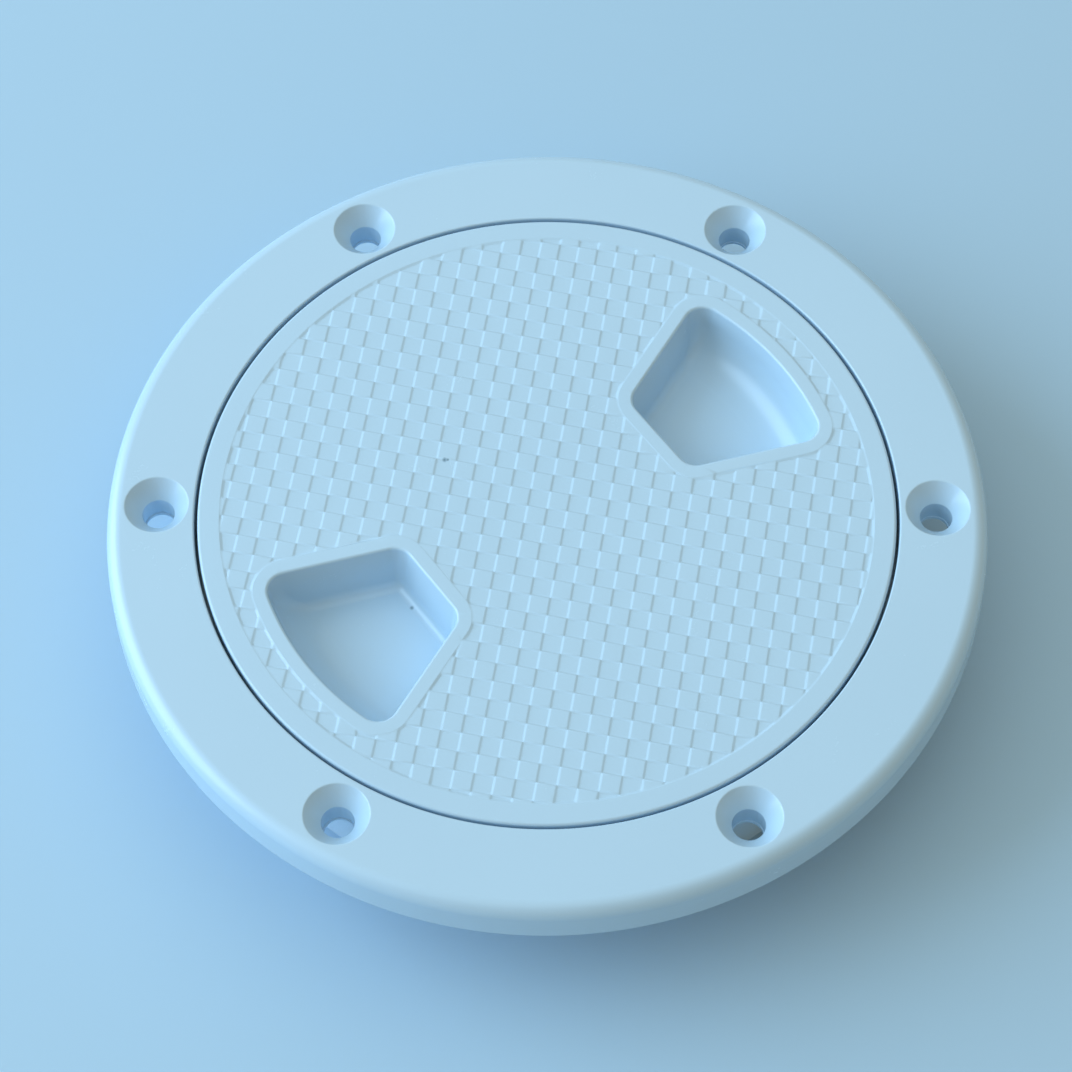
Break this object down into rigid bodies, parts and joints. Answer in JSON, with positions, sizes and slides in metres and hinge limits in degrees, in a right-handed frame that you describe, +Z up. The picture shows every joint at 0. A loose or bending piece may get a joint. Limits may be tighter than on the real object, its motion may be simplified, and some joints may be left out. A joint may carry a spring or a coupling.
{
  "type": "deck inspection plate",
  "caption": "Round screw-out deck inspection plate: a flanged ring with countersunk screw holes and a threaded collar, and a checkered screw-in lid with sunk finger pockets.",
  "frame": {"origin": "on the plate's axis, in the plane of the deck's surface, which is the underside of the flange", "axes": "+Z points up out of the deck along the plate's axis, and X runs through the middle of both finger pockets"},
  "size_m": [0.141, 0.141, 0.0265],
  "materials": {
    "frame_plastic": "satin white moulded plastic",
    "lid_plastic": "satin white moulded plastic",
    "seal_rubber": "matt black rubber"
  },
  "bodies": {
    "frame": {"frame": "frame_plastic"},
    "seal": {"seal_ring": "seal_rubber"},
    "lid": {"lid": "lid_plastic"}
  },
  "joints": [
    {"name": "lid_lift", "type": "slide", "parent": "frame", "child": "seal", "axis": [0, 0, 1], "range_m": [0, 0.0161]},
    {"name": "lid_turn", "type": "hinge", "parent": "seal", "child": "lid", "pos_m": [0, 0, 0], "axis": [0, 0, 1], "range_deg": [0, 1440]}
  ],
  "couplings": [
    {"joint": "lid_lift", "follows": "lid_turn", "m_per_rad": 0.00063662}
  ]
}
